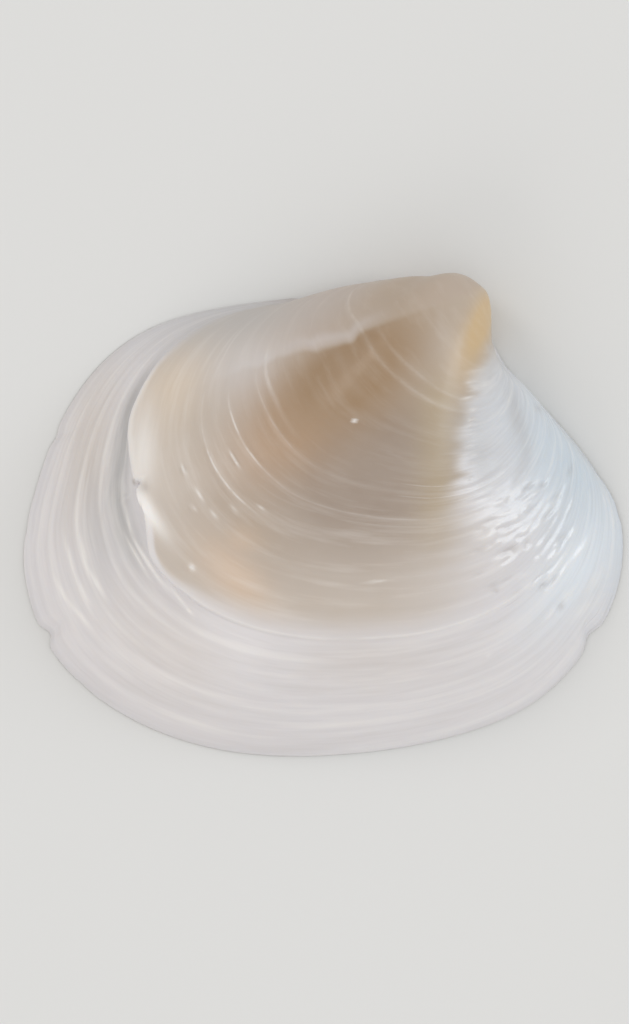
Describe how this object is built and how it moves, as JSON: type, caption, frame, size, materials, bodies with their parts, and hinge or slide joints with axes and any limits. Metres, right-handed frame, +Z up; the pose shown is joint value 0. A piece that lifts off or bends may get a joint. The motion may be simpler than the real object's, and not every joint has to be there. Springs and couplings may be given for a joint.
{
  "type": "bivalve seashell valve",
  "caption": "Right valve of a small inflated bivalve seashell: curled beak at the hinge, growth ridges, a stepped old edge, thin wall with a shallow cavity, flat rim.",
  "frame": {"origin": "middle of the valve's bounding box in plan, in the plane of the flat edge it rests on", "axes": "+X towards the front end, along the length; +Y towards the hinge and beak side; +Z up out of the edge plane, through the outside of the valve"},
  "size_m": [0.008, 0.0064, 0.002],
  "materials": {
    "shell": "glossy, slightly translucent calcareous shell, cream to tan with bluish white"
  },
  "bodies": {
    "root": {"right_valve": "shell"}
  },
  "joints": []
}
